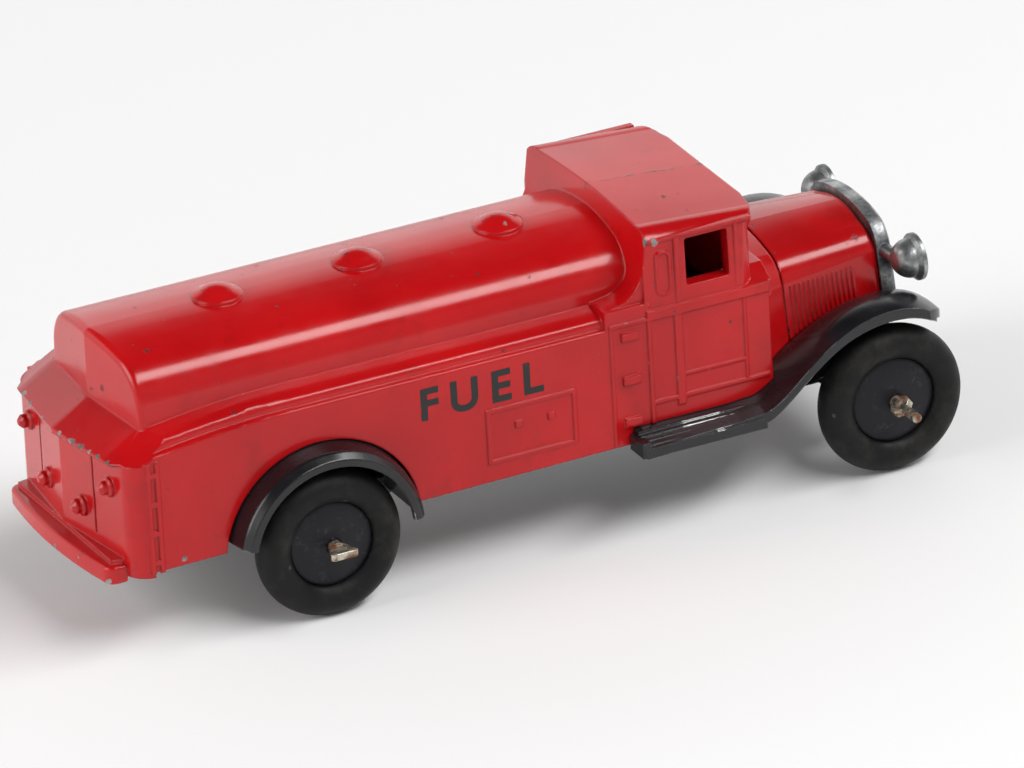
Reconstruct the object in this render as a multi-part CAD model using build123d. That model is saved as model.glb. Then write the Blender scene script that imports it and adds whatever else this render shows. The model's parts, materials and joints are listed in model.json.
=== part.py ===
from build123d import *
import os
from math import asin, cos, radians, sin, sqrt

# Die-cast toy petrol tanker, millimetres. +X is forward, +Y is the driver's left, Z = 0 is the ground.
# The model is symmetric about the XZ plane. The last step centres it between its bumper and front tyres.

# ---- driving dimensions ----
WHEELBASE = 69.3
FRONT_AXLE_X = 44.08
REAR_AXLE_X = FRONT_AXLE_X - WHEELBASE
TYRE_R = 8.66
TYRE_HALF_W = 2.09
RIM_R = 5.0
TRACK_HALF = 15.62
AXLE_R = 0.75
RUNNING_CLEARANCE = 0.05
TAIL_X = -51.5
BEYOND_TAIL_X = TAIL_X - 4
CENTRE_X = (FRONT_AXLE_X + TYRE_R + TAIL_X) / 2

HALF_WIDTH = 15.0
WALL = 1.3
LIP_Z = 24.85
LIP_DEPTH = 0.6
SHOULDER_Z = 25.95
CREASE_Z = 26.6
TANK_TOP_Z = 33.35
TANK_HALF_W = 11.45
TANK_REAR_X = -45.9
TANK_RAKE = 0.096
SWEEP_START_X = -28.0
SWEEP_R = 108.7
BODY_BOTTOM_Z = 10.1
TAIL_BOTTOM_Z = 9.1
DECK_REAR_X = -50.5
PANEL_REAR_X = -49.7
TAIL_RAKE = 0.117
DECK_SLOPE = 0.609
DECK_SHOULDER = (11.5, 24.35)
DECK_EDGE = (17.0, 22.15)
BUMPER_HALF_W = 12.9
BUMPER_Z = (8.3, 10.5)

COLUMN_X = 10.5
CAB_REAR_X = 15.15
CAB_FRONT_X = 28.5
COWL_FRONT_X = 30.3
BROW_X = 31.0
CAB_BOTTOM_Z = 12.45
CAB_UPPER_HALF_W = 14.65
BELT_Z = 25.5
ROOF_Z = 35.9
SEAM_X = 34.5
BONNET_FRONT_X = 47.0
RADIATOR_FRONT_X = 48.9
MOULDING = 0.25

CAP_XS = (-29.67, -12.58, 4.74)
ARCH_R = 11.92
WING_R = 11.6
WING_THICK = 0.95
WING_TIP_X = 51.3
LAMP_AXIS_Y = 10.9
LAMP_AXIS_Z = 22.35
LAMP_RIM_R = 2.7
STUD_XS = (-8.0, 38.0)
STUD_R = 1.2
PLATE_Z = 9.9
PLATE_THICK = 0.9
PAD_X = (-3.0, 33.0)
PAD_Z = 9.6
RAIL_Y = (6.4, 8.2)


# ---- helpers ----
def face_of(points):
    """A flat face with straight sides."""
    return make_face(Polyline(*points, close=True))


def run_x(face, x0, x1):
    """A section drawn in (y, z), run along X."""
    return extrude(Plane.YZ.offset(x0) * face, x1 - x0)


def run_y(face, y0, y1):
    """A side profile drawn in (x, z), run along Y."""
    return extrude(Plane.XZ.offset(-y1) * face, y1 - y0)


def run_z(face, z0, z1):
    """A plan drawn in (x, y), run along Z."""
    return extrude(Plane.XY.offset(z0) * face, z1 - z0)


def block(x0, x1, y0, y1, z0, z1):
    """A square block between two corners."""
    size = Box(x1 - x0, y1 - y0, z1 - z0)
    return Pos((x0 + x1) / 2, (y0 + y1) / 2, (z0 + z1) / 2) * size


def both(shape):
    """The shape and its mirror image on the other side of the truck."""
    return [shape, mirror(shape, about=Plane.XZ)]


def corner(face, x, y):
    """The vertex of a flat face nearest to a point."""
    return min(face.vertices(), key=lambda v: (v.X - x) ** 2 + (v.Y - y) ** 2)


def mirrored_face(edges):
    """A section given by its right half's edges, closed down the middle and mirrored."""
    half = make_face(edges)
    return half + mirror(half, about=Plane.YZ)


def disc_y(radius, x, y0, y1, z):
    """A round bar along Y."""
    return Pos(x, (y0 + y1) / 2, z) * Rot(90, 0, 0) * Cylinder(radius, y1 - y0)


def dome(rim_r, rim_z, top_z):
    """Half the outline of a dome, from its rim up to the axis, as an arc of a true sphere."""
    rise = top_z - rim_z
    sphere_r = (rim_r ** 2 + rise ** 2) / (2 * rise)
    half = asin(rim_r / sphere_r) / 2
    middle = (sphere_r * sin(half), top_z - sphere_r * (1 - cos(half)))
    return ThreePointArc((rim_r, rim_z), middle, (0, top_z))


def soften(shape, edges, radius):
    """Round the edges, and leave the shape as it is where the kernel can't."""
    try:
        rounded = fillet(edges, radius)
        return rounded if rounded.is_valid else shape
    except Exception:
        return shape


# ---- lower body: shoulder, tail deck, side walls and rear panel ----
def shoulder_section():
    """Half of the stepped shoulder, from the lip at the top of the side to the foot of the tank."""
    points = [
        (0, LIP_Z - 6),
        (HALF_WIDTH, LIP_Z - 6),
        (HALF_WIDTH, LIP_Z),
        (14.4, LIP_Z + 0.1),
        (14.25, SHOULDER_Z),
        (11.0, CREASE_Z + 0.05),
        (0, CREASE_Z + 0.05),
    ]
    face = face_of(points)
    face = fillet([corner(face, 14.25, SHOULDER_Z)], 0.75)
    face = fillet([corner(face, 14.4, LIP_Z + 0.1)], 0.15)
    face = fillet([corner(face, HALF_WIDTH, LIP_Z)], 0.3)
    return face + mirror(face, about=Plane.YZ)


def sweep_z(x, z):
    """The height at x of a line that lies at z before the tail starts to fall."""
    return z - SWEEP_R + sqrt(SWEEP_R ** 2 - (x - SWEEP_START_X) ** 2)


def sweep_arc(top):
    """The fall of the tail seen from the side, for a line that starts at the height top."""
    mid_x = (SWEEP_START_X + BEYOND_TAIL_X) / 2
    return ThreePointArc(
        (SWEEP_START_X, top),
        (mid_x, sweep_z(mid_x, top)),
        (BEYOND_TAIL_X, sweep_z(BEYOND_TAIL_X, top)),
    )


def tail_plan(rear_x, half_width, radius):
    """Plan of the tail: a shallow V across the back, with rounded corners."""
    side_x = rear_x + TAIL_RAKE * half_width
    points = [
        (rear_x, 0),
        (side_x, half_width),
        (COLUMN_X, half_width),
        (COLUMN_X, -half_width),
        (side_x, -half_width),
    ]
    face = face_of(points)
    face = fillet([corner(face, side_x, half_width)], radius)
    return fillet([corner(face, side_x, -half_width)], radius)


def deck_fall():
    """All the space under the tail's sloping top, which is rounded over towards each side."""
    ridge_z = 25.3
    shoulder_y, shoulder_z = DECK_SHOULDER
    edge_y, edge_z = DECK_EDGE
    points = [
        (0, ridge_z),
        (shoulder_y, shoulder_z),
        (edge_y, edge_z),
        (edge_y, -10),
        (-edge_y, -10),
        (-edge_y, edge_z),
        (-shoulder_y, shoulder_z),
    ]
    face = face_of(points)
    for y in (shoulder_y, -shoulder_y):
        face = fillet([corner(face, y, shoulder_z)], 7.0)
    face = fillet([corner(face, 0, ridge_z)], 3.0)
    ahead = COLUMN_X + 1 - TANK_REAR_X
    start = Plane.YZ.offset(TANK_REAR_X + ahead) * face
    start = Pos(0, 0, DECK_SLOPE * ahead) * start
    return extrude(start, (ahead + 12) * sqrt(1 + DECK_SLOPE ** 2), dir=(-1, 0, -DECK_SLOPE))


def deck():
    """The shoulder and the tail deck, which falls away along an arc behind the rear axle."""
    section = shoulder_section()
    straight = run_x(section, SWEEP_START_X, COLUMN_X)
    centre_z = LIP_Z - SWEEP_R
    start = Plane.YZ.offset(SWEEP_START_X) * section
    fall = revolve(start, Axis((SWEEP_START_X, 0, centre_z), (0, -1, 0)), 14)
    plan = run_z(tail_plan(DECK_REAR_X, HALF_WIDTH, 4.0), 0, 40)
    under = LIP_Z - LIP_DEPTH
    foot_z = sweep_z(BEYOND_TAIL_X, under)
    rest = Polyline((BEYOND_TAIL_X, foot_z), (BEYOND_TAIL_X, 45), (COLUMN_X, 45), (COLUMN_X, under))
    close = Line((COLUMN_X, under), (SWEEP_START_X, under))
    above = run_y(make_face([sweep_arc(under), rest, close]), -20, 20)
    shape = (straight + fall) & plan & above
    shape = shape & deck_fall()
    rim = [e for e in shape.edges() if e.bounding_box().max.X < -44.5 and e.bounding_box().min.Z > 22.2]
    rim = [e for e in rim if abs(e.center().Y) > 0.5 and e.bounding_box().min.X < -47.5]
    return soften(shape, rim, 0.25)


def side_walls():
    """The lower body as one block under the deck, with its rear panel set in from the deck's edge."""
    top = LIP_Z - LIP_DEPTH
    rest = Polyline(
        (BEYOND_TAIL_X, sweep_z(BEYOND_TAIL_X, top)),
        (BEYOND_TAIL_X, TAIL_BOTTOM_Z),
        (-45.7, TAIL_BOTTOM_Z),
        (-45.7, BODY_BOTTOM_Z - 0.35),
        (COLUMN_X, BODY_BOTTOM_Z + 0.4),
        (COLUMN_X, top),
        (SWEEP_START_X, top),
    )
    profile = run_y(make_face([sweep_arc(top), rest]), -20, 20)
    plan = run_z(tail_plan(PANEL_REAR_X, HALF_WIDTH, 2.8), 0, 40)
    return profile & plan


def bumper():
    """The bumper bar cast on the tail, bowed in plan, with a ledge behind it."""
    half = BUMPER_HALF_W
    end_x = TAIL_X + 1.1
    arc = ThreePointArc((end_x, -half), (TAIL_X, 0), (end_x, half))
    sides = Polyline((end_x, half), (end_x + 2.2, half), (end_x + 2.2, -half), (end_x, -half))
    plan = make_face([arc, sides])
    for side in (half, -half):
        plan = fillet([corner(plan, end_x, side)], 1.3)
    bar = run_z(plan, *BUMPER_Z)
    bar = soften(bar, bar.edges().group_by(Axis.Z)[-1] + bar.edges().group_by(Axis.Z)[0], 0.45)
    ledge_plan = face_of([(end_x + 0.7, -12), (end_x + 0.7, 12), (-47.0, 12.5), (-47.0, -12.5)])
    ledge = run_z(ledge_plan, BUMPER_Z[0] + 0.5, BUMPER_Z[1] + 0.5)
    return [bar, ledge]


def lamp_stub(y, z, rear_x, radius, reach):
    """A round stub lamp on a ring, with a pointed end, on the rear panel."""
    root_x = 2.0
    profile = Polyline(
        (0, 0),
        (radius + 0.35, 0),
        (radius + 0.35, root_x + 0.3),
        (radius, root_x + 0.5),
        (radius, root_x + reach - 0.45),
        (0.35, root_x + reach),
        (0, root_x + reach),
        close=True,
    )
    stub = revolve(Plane.XZ * make_face(profile), Axis.Z)
    return Pos(rear_x + root_x, y, z) * Rot(0, -90, 0) * stub


def tail_details():
    """Rear lamps, number-plate lamps, panel seams and the riveted strips round the corner."""
    parts = []
    for y, z, radius in ((10.27, 19.0, 0.8), (4.28, 14.6, 0.85)):
        rear_x = PANEL_REAR_X + TAIL_RAKE * y
        parts += both(lamp_stub(y, z, rear_x, radius, 1.45))
    for x in (-46.0, -44.9):
        strip = block(x - 0.28, x + 0.28, HALF_WIDTH - 1, HALF_WIDTH + 0.22, TAIL_BOTTOM_Z + 0.5, 22.9)
        parts += both(strip)
    for z in (10.9, 14.4, 17.9, 21.4):
        parts += both(disc_y(0.35, -45.45, HALF_WIDTH - 0.5, HALF_WIDTH + 0.22, z))
    return parts


def panel_seams():
    """Two upright grooves in the rear panel."""
    seam_y = 6.8
    rear_x = PANEL_REAR_X + TAIL_RAKE * seam_y
    return both(block(rear_x - 1, rear_x + 0.3, seam_y - 0.15, seam_y + 0.15, 12.2, 22.0))


# ---- tank ----
def tank_section(inset):
    """Half of the tank's section: a low crown with a faint ridge, tight upper corners, upright sides."""
    shoulder = (7.0, 32.4 - inset)
    turn = (9.75 - inset * 0.7, 30.84 - inset * 0.7)
    haunch = (11.15 - inset, 28.0)
    half_w = TANK_HALF_W - inset
    crown = ThreePointArc((0, TANK_TOP_Z - inset), (3.6, 33.08 - inset), shoulder)
    side = ThreePointArc(shoulder, turn, haunch)
    rest = Polyline(haunch, (half_w, 25.0), (half_w, 22.0), (0, 22.0))
    close = Line((0, 22.0), (0, TANK_TOP_Z - inset))
    return mirrored_face([crown, side, rest, close])


def tank():
    """The tank as a solid barrel, its rear face a shallow V, with a softened rim."""
    barrel = run_x(tank_section(0), TANK_REAR_X, CAB_REAR_X + 2)
    wide = 13
    side_x = TANK_REAR_X + TANK_RAKE * wide
    plan = face_of([(TANK_REAR_X, 0), (side_x, wide), (30, wide), (30, -wide), (side_x, -wide)])
    barrel = barrel & run_z(plan, 0, 40)
    rear = [e for e in barrel.edges() if e.bounding_box().max.X < TANK_REAR_X + 1.5]
    rim = [e for e in rear if e.center().Z > 26 and abs(e.center().Y) > 0.1]
    return soften(barrel, rim, 0.8)


def filler_cap(x):
    """A low domed cap on a flange."""
    profile = [
        Polyline((0, -0.9), (2.85, -0.9), (2.85, 0.3), (2.1, 0.62)),
        dome(2.1, 0.62, 1.33),
        Line((0, 1.33), (0, -0.9)),
    ]
    cap = revolve(Plane.XZ * make_face(profile), Axis.Z)
    return Pos(x, 0, TANK_TOP_Z) * cap


# ---- cab ----
def cab_section(x, crown_z, crease_z, eaves_z):
    """Half of the cab above the belt at x: leaning sides, rounded eaves and a low roof."""
    roof = ThreePointArc((0, crown_z), (6.4, (crown_z * 2 + crease_z) / 3), (12.0, crease_z))
    turn_z = crease_z - 0.3 * (crease_z - eaves_z)
    eaves = ThreePointArc((12.0, crease_z), (13.85, turn_z), (CAB_UPPER_HALF_W, eaves_z))
    side = Polyline(
        (CAB_UPPER_HALF_W, eaves_z),
        (HALF_WIDTH - 0.1, BELT_Z),
        (HALF_WIDTH - 0.1, BELT_Z - 3),
        (0, BELT_Z - 3),
    )
    close = Line((0, BELT_Z - 3), (0, crown_z))
    return Plane.YZ.offset(x) * mirrored_face([roof, eaves, side, close])


def cab_upper():
    """The cab from the belt to the roof, its back leaning forward and its roof rounded at the front."""
    rear = cab_section(14.0, ROOF_Z, 35.3, 34.3)
    front = cab_section(32.0, 34.3, 34.1, 33.4)
    hull = loft([rear, front], ruled=True)
    back = Polyline((CAB_REAR_X, 20), (CAB_REAR_X, 30.5), (15.95, 37), (28.3, 37), (28.3, 34.7))
    brow = ThreePointArc((28.3, 34.7), (30.4, 34.2), (BROW_X, 33.0))
    face = Polyline((BROW_X, 33.0), (CAB_FRONT_X, 32.7), (CAB_FRONT_X - 0.1, 20), (CAB_REAR_X, 20))
    profile = run_y(make_face([back, brow, face]), -20, 20)
    bow_x, bow_y = BROW_X - 1, 10.5
    turn_x, turn_y = BROW_X - 1.8, 13.33
    side_x, side_y = BROW_X - 4.2, 15.02
    plan = [ThreePointArc((bow_x, -bow_y), (BROW_X, 0), (bow_x, bow_y))]
    for side in (1, -1):
        plan.append(ThreePointArc((bow_x, side * bow_y), (turn_x, side * turn_y), (side_x, side * side_y)))
    plan.append(Polyline((side_x, side_y), (10, side_y), (10, -side_y), (side_x, -side_y)))
    return hull & profile & run_z(make_face(plan), 20, 40)


def cove():
    """The hollow curve that runs from the ledge beside the tank up the back of the cab."""
    inside_x = CAB_REAR_X + 1
    arc = ThreePointArc((CAB_REAR_X, 30.6), (14.1, 28.2), (11.6, 27.1))
    rest = Polyline((11.6, 27.1), (COLUMN_X, 26.9), (COLUMN_X, 22), (inside_x, 22), (inside_x, 30.6))
    close = Line((inside_x, 30.6), (CAB_REAR_X, 30.6))
    return run_y(make_face([arc, rest, close]), -14.4, 14.4)


def cab_lower():
    """The cab below the belt, the column behind it and the cowl corner in front."""
    column = block(COLUMN_X - 0.4, CAB_REAR_X + 0.4, -HALF_WIDTH, HALF_WIDTH, BODY_BOTTOM_Z + 0.4, 26.9)
    doors = block(CAB_REAR_X, COWL_FRONT_X, -HALF_WIDTH, HALF_WIDTH, CAB_BOTTOM_Z, BELT_Z + 0.5)
    ledge = face_of([(0, 24), (14.9, 24), (14.9, 26.0), (12.6, 27.4), (0, 27.4)])
    ledge = run_x(ledge + mirror(ledge, about=Plane.YZ), CAB_FRONT_X - 1, COWL_FRONT_X + 0.4)
    return [column, doors, ledge]


def bonnet_section(x, crown_z, shoulder, side, inset=0.0):
    """Half of the bonnet's section at x: a crown with a centre ridge, a rounded shoulder, raked side."""
    shoulder_y, shoulder_z = shoulder
    side_y, side_z = side
    mid_y = (shoulder_y + side_y) / 2 + 0.15 * (side_y - shoulder_y) - inset
    mid_z = (shoulder_z + side_z) / 2 + 0.12 * (shoulder_z - side_z) - inset
    base_y = side_y + 1.7 - inset
    crown = ThreePointArc(
        (0, crown_z - inset),
        (shoulder_y * 0.52, (crown_z + shoulder_z) / 2 + 0.17 - inset),
        (shoulder_y - inset * 0.5, shoulder_z - inset),
    )
    top_corner = (shoulder_y - inset * 0.5, shoulder_z - inset)
    curve = ThreePointArc(top_corner, (mid_y, mid_z), (side_y - inset, side_z))
    rest = Polyline((side_y - inset, side_z), (base_y, 13.2), (0, 13.2))
    close = Line((0, 13.2), (0, crown_z - inset))
    return Plane.YZ.offset(x) * mirrored_face([crown, curve, rest, close])


def bonnet(inset=0.0):
    """Scuttle and bonnet, with the seam between them, tapering to the radiator."""
    at_cab = bonnet_section(CAB_FRONT_X - 0.5, 27.2, (8.6, 26.1), (11.9, 22.6), inset)
    at_seam = bonnet_section(SEAM_X, 26.25, (7.0, 25.1), (9.7, 22.3), inset)
    at_front = bonnet_section(BONNET_FRONT_X, 26.2, (4.7, 25.25), (8.1, 22.9), inset)
    return loft([at_cab, at_seam], ruled=True) + loft([at_seam, at_front], ruled=True)


def bonnet_with_seams():
    """The bonnet with grooves at the scuttle seam and behind the radiator."""
    seams = block(SEAM_X - 0.13, SEAM_X + 0.13, -20, 20, 10, 40)
    seams += block(BONNET_FRONT_X - 0.4, BONNET_FRONT_X + 1, -20, 20, 10, 40)
    return (bonnet() - seams) + bonnet(inset=0.25)


def louvres():
    """Upright slats on each side of the bonnet."""
    slats = []
    count = 14
    first_x, last_x = 35.5, 43.6
    for i in range(count):
        x = first_x + (last_x - first_x) * i / (count - 1)
        side_y = 10.47 - 0.128 * (x - SEAM_X)
        slat = Pos(x, side_y - 0.16, 18.2) * Rot(10.6, 0, 0) * Box(0.26, 0.7, 7.6)
        slats += both(slat)
    return slats


def side_mouldings():
    """Raised strips and steps on both sides: belt, door posts, sill, hatch and column steps."""
    side = HALF_WIDTH
    proud = side + MOULDING
    parts = [
        block(CAB_REAR_X, COWL_FRONT_X, side - 0.4, proud, 24.8, 26.0),
        block(CAB_REAR_X, CAB_REAR_X + 0.5, side - 0.4, proud - 0.05, CAB_BOTTOM_Z, 25.0),
        block(18.5, 19.5, side - 0.4, proud - 0.05, CAB_BOTTOM_Z + 1.4, 25.0),
        block(27.0, 27.35, side - 0.4, proud - 0.1, 15.0, 25.0),
        block(CAB_REAR_X, COWL_FRONT_X - 0.4, side - 0.4, proud - 0.05, 14.6, 15.1),
        block(19.5, 27.0, side - 0.4, proud - 0.1, 17.2, 17.6),
        block(COLUMN_X, COLUMN_X + 0.45, side - 0.4, proud - 0.1, BODY_BOTTOM_Z + 0.6, 24.9),
        block(COLUMN_X, CAB_REAR_X, side - 0.4, proud - 0.05, 24.85, 25.3),
    ]
    for z in (13.3, 18.3, 23.6):
        parts.append(block(11.9, 14.0, side - 0.4, side + 0.4, z - 0.5, z + 0.5))
    frame_out = block(-5.0, 6.1, side - 0.4, side + 0.18, 12.4, 19.0)
    frame_in = block(-4.5, 5.6, side - 0.6, side + 1, 12.9, 18.5)
    parts.append(frame_out - frame_in)
    for x in (-1.05, 3.0):
        parts.append(block(x - 0.45, x + 0.45, side - 0.4, side + 0.25, 16.1, 16.9))
    upper = CAB_UPPER_HALF_W + 0.1
    oval = block(16.6, 18.6, upper - 0.5, upper + 0.2, 27.3, 32.7)
    oval = soften(oval, oval.edges().filter_by(Axis.Y), 0.9)
    oval_in = block(16.95, 18.25, upper - 1, upper + 1, 27.65, 32.35)
    oval_in = soften(oval_in, oval_in.edges().filter_by(Axis.Y), 0.6)
    parts.append(oval - oval_in)
    parts.append(block(19.0, 19.6, upper - 0.5, upper + 0.2, 25.5, 33.9))
    parts.append(block(26.4, 26.8, upper - 0.5, upper + 0.15, 25.5, 33.9))
    parts.append(block(15.9, 28.6, 14.0, CAB_UPPER_HALF_W + 0.2, 33.75, 34.2))
    return [shape for part in parts for shape in both(part)]


def window_cutters():
    """Door windows right through the cab, and two blind windscreen panes."""
    door = block(20.4, 25.7, -20, 20, 27.8, 33.4)
    door = soften(door, door.edges().filter_by(Axis.Y), 0.35)
    panes = []
    for y in (-6.0, 6.0):
        pane = block(CAB_FRONT_X - 0.45, CAB_FRONT_X + 3, y - 5.0, y + 5.0, 28.0, 32.2)
        panes.append(soften(pane, pane.edges().filter_by(Axis.X), 0.5))
    return [door] + panes


def hollow():
    """The space inside the casting, open underneath."""
    rear_x = PANEL_REAR_X + TAIL_RAKE * 6 + WALL + 0.2
    top = LIP_Z - 1.5
    foot_z = sweep_z(BEYOND_TAIL_X, top)
    rest = Polyline(
        (BEYOND_TAIL_X, foot_z),
        (BEYOND_TAIL_X, 5),
        (13.5, 5),
        (13.5, top),
        (SWEEP_START_X, top),
    )
    lower = run_y(make_face([sweep_arc(top), rest]), -20, 20)
    width = HALF_WIDTH - WALL
    lower = lower & block(rear_x + 0.6, 13.5, -width, width, 0, 30)
    barrel = run_x(tank_section(WALL), TANK_REAR_X + WALL + 0.2, CAB_REAR_X + 2)
    cabin = block(12.5, CAB_FRONT_X - 1.2, -width, width, 5, 26)
    cabin_top = run_x(
        face_of([(-13.2, 25), (13.2, 25), (12.9, 33.2), (-12.9, 33.2)]),
        CAB_REAR_X + 1.6,
        CAB_FRONT_X - 1.2,
    )
    nose = block(CAB_FRONT_X - 2, BONNET_FRONT_X - 1.5, -7.2, 7.2, 5, 23.4)
    return [lower, barrel, cabin, cabin_top, nose]


def studs():
    """Two posts cast inside the body, each with a stud through the chassis plate, peened over below."""
    parts = []
    for x, top in zip(STUD_XS, (TANK_TOP_Z - 1, 24.0)):
        foot = PLATE_Z + PLATE_THICK
        parts.append(Pos(x, 0, (foot + top) / 2) * Cylinder(2.2, top - foot))
        parts.append(Pos(x, 0, PLATE_Z + PLATE_THICK / 2) * Cylinder(STUD_R, PLATE_THICK + 0.2))
        parts.append(Pos(x, 0, PLATE_Z - 0.35) * Cone(1.4, 1.9, 0.7))
    return parts


def tank_cab_body():
    """The red casting: tank, tail, cab and bonnet in one piece."""
    shell = deck() + side_walls() + tank() + cab_upper() + cove() + cab_lower() + bonnet_with_seams()
    shell += bumper()
    shell += tail_details() + side_mouldings() + louvres()
    shell += [filler_cap(x) for x in CAP_XS]
    rear_arch = disc_y(ARCH_R, REAR_AXLE_X, -20, 20, 8.45)
    for cutter in panel_seams() + window_cutters() + hollow() + [rear_arch]:
        shell -= cutter
    shell -= both(front_wing_sheet(solid=True))
    for stud in studs():
        shell += stud
    return shell


# ---- chassis, wings and running boards ----
FRONT_WING = (
    # x, height of the crown, height of the outer lip, fall from the crown to the inner edge
    (12.9, 12.35, 11.1, 0.1),
    (24.5, 12.35, 11.5, 0.1),
    (27.5, 12.6, 11.8, 0.2),
    (29.8, 13.7, 12.9, 0.9),
    (32.6, 15.8, 15.2, 2.6),
    (36.0, 18.2, 17.8, 4.4),
    (39.5, 19.9, 19.5, 4.8),
    (43.4, 20.6, 20.2, 4.2),
    (46.8, 20.3, 19.8, 3.4),
    (49.4, 19.1, 18.5, 2.8),
    (WING_TIP_X, 17.2, 16.7, 2.2),
)
BOARD_STATIONS = 3


def wing_section(x, crown_z, lip_z, fall, solid):
    """Section of the front wing: a crowned sheet with a turned-down lip, or all the space under it."""
    inner_y, crown_y, lip_y = RAIL_Y[1] - 0.1, 15.2, 18.3
    drop = 1.25
    lift = RUNNING_CLEARANCE if solid else 0
    top = ThreePointArc((inner_y, crown_z - fall + lift), (crown_y, crown_z + lift), (lip_y, lip_z + lift))
    if solid:
        rest = Polyline((lip_y, lip_z + lift), (lip_y, 2), (inner_y, 2), (inner_y, crown_z - fall + lift))
        return Plane.YZ.offset(x) * make_face([top, rest])
    inside_y = lip_y - WING_THICK
    inside_z = lip_z - WING_THICK + 0.15
    lip = Polyline((lip_y, lip_z), (lip_y, lip_z - drop), (inside_y, lip_z - drop), (inside_y, inside_z))
    under = ThreePointArc(
        (inside_y, inside_z),
        (crown_y - 0.3, crown_z - WING_THICK),
        (inner_y, crown_z - fall - WING_THICK),
    )
    close = Line((inner_y, crown_z - fall - WING_THICK), (inner_y, crown_z - fall))
    return Plane.YZ.offset(x) * make_face([top, lip, under, close])


def front_wing_sheet(solid=False):
    """One running board and front wing in one flowing sheet, with a rounded nose in plan."""
    sections = [wing_section(*station, solid) for station in FRONT_WING]
    last = BOARD_STATIONS
    sheet = loft(sections[:last], ruled=True) + loft(sections[last - 1:])
    nose_x = WING_TIP_X - 1.0
    nose = [
        Polyline((nose_x - 2.3, 19), (0, 19), (0, 0), (nose_x, 0), (nose_x, 9.5)),
        ThreePointArc((nose_x, 9.5), (WING_TIP_X, 14.2), (nose_x - 2.3, 18.5)),
        Line((nose_x - 2.3, 18.5), (nose_x - 2.3, 19)),
    ]
    return sheet & run_z(make_face(nose), 0, 40)


def board_details():
    """Tread ribs on the running board, its outer edge and its square rear end."""
    parts = [block(12.3, 13.3, 15.2, 18.5, 10.1, 11.9)]
    for i in range(4):
        y = 16.0 + 0.62 * i
        z = 12.2 - 0.31 * i
        parts.append(block(12.9, 27.0, y - 0.16, y + 0.16, z - 0.8, z + 0.12))
    parts.append(block(12.6, 27.6, 17.9, 18.55, 10.1, 11.2))
    return parts


def wing_valance():
    """The upright inner wall under the front wing, down to the chassis rail."""
    crown = [(x, z - fall - 0.4) for x, z, _, fall in FRONT_WING[2:-2]]
    foot = [(46.8, 14.5), (43.0, 11.2), (38.0, 9.2), (27.5, 9.2)]
    inner_y = RAIL_Y[1] - 0.1
    return run_y(face_of(crown + foot), inner_y, inner_y + 1)


def rear_wing():
    """One rear wing: a rounded band over the wheel, reaching in to the chassis rail."""
    outer_y = 18.2
    points = [
        (RAIL_Y[0], WING_R - WING_THICK),
        (RAIL_Y[0], WING_R),
        (14.8, WING_R),
        (17.3, WING_R - 0.4),
        (outer_y, WING_R - 1.1),
        (outer_y, WING_R - 1.9),
        (outer_y - 0.8, WING_R - 1.9),
        (outer_y - 0.9, WING_R - 1.5),
        (14.8, WING_R - WING_THICK),
    ]
    face = face_of(points)
    face = fillet([corner(face, 17.3, WING_R - 0.4)], 0.8)
    face = fillet([corner(face, outer_y, WING_R - 1.1)], 0.3)
    start = radians(5.5)
    centre = (REAR_AXLE_X, 0, TYRE_R)
    plane = Plane(origin=centre, x_dir=(0, 1, 0), z_dir=(sin(start), 0, -cos(start)))
    return revolve(plane * face, Axis(centre, (0, -1, 0)), 163)


def frame():
    """Rails with the axle bearings, the floor plate between them and the outriggers to the wings."""
    rail = [
        (-46.5, PLATE_Z - 1.2),
        (REAR_AXLE_X - 5, PLATE_Z - 1.2),
        (REAR_AXLE_X - 2.6, 6.9),
        (REAR_AXLE_X + 2.6, 6.9),
        (REAR_AXLE_X + 5, PLATE_Z - 1.2),
        (FRONT_AXLE_X - 5, PLATE_Z - 1.2),
        (FRONT_AXLE_X - 2.6, 6.9),
        (FRONT_AXLE_X + 2.6, 6.9),
        (FRONT_AXLE_X + 4.6, PLATE_Z - 1.2),
        (FRONT_AXLE_X + 4.6, PLATE_Z + 0.1),
        (-46.5, PLATE_Z + 0.1),
    ]
    parts = both(run_y(face_of(rail), *RAIL_Y))
    top = PLATE_Z + PLATE_THICK
    parts.append(block(-46.5, FRONT_AXLE_X + 4.6, -RAIL_Y[1], RAIL_Y[1], PLATE_Z, top))
    parts.append(block(*PAD_X, -RAIL_Y[0] + 1, RAIL_Y[0] - 1, PAD_Z, PLATE_Z + 0.1))
    parts.append(block(-46.3, REAR_AXLE_X - 10.9, -13.2, 13.2, PLATE_Z, top))
    parts.append(block(REAR_AXLE_X + 10.7, 15.5, -13.2, 13.2, PLATE_Z, top))
    parts.append(block(13.4, 30.2, -13.2, 13.2, PLATE_Z, top + 0.7))
    parts += both(block(REAR_AXLE_X - 11.3, REAR_AXLE_X + 11.2, *RAIL_Y, PLATE_Z, top))
    return parts


def chassis():
    """The black casting: frame, running boards and all four wings."""
    part = front_wing_sheet() + board_details() + wing_valance() + rear_wing()
    part = part + mirror(part, about=Plane.XZ)
    part += frame()
    for x in (REAR_AXLE_X, FRONT_AXLE_X):
        part -= disc_y(AXLE_R + RUNNING_CLEARANCE, x, -12, 12, TYRE_R)
    for x in STUD_XS:
        part -= Pos(x, 0, PLATE_Z) * Cylinder(STUD_R + RUNNING_CLEARANCE, 8)
    return part


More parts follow.
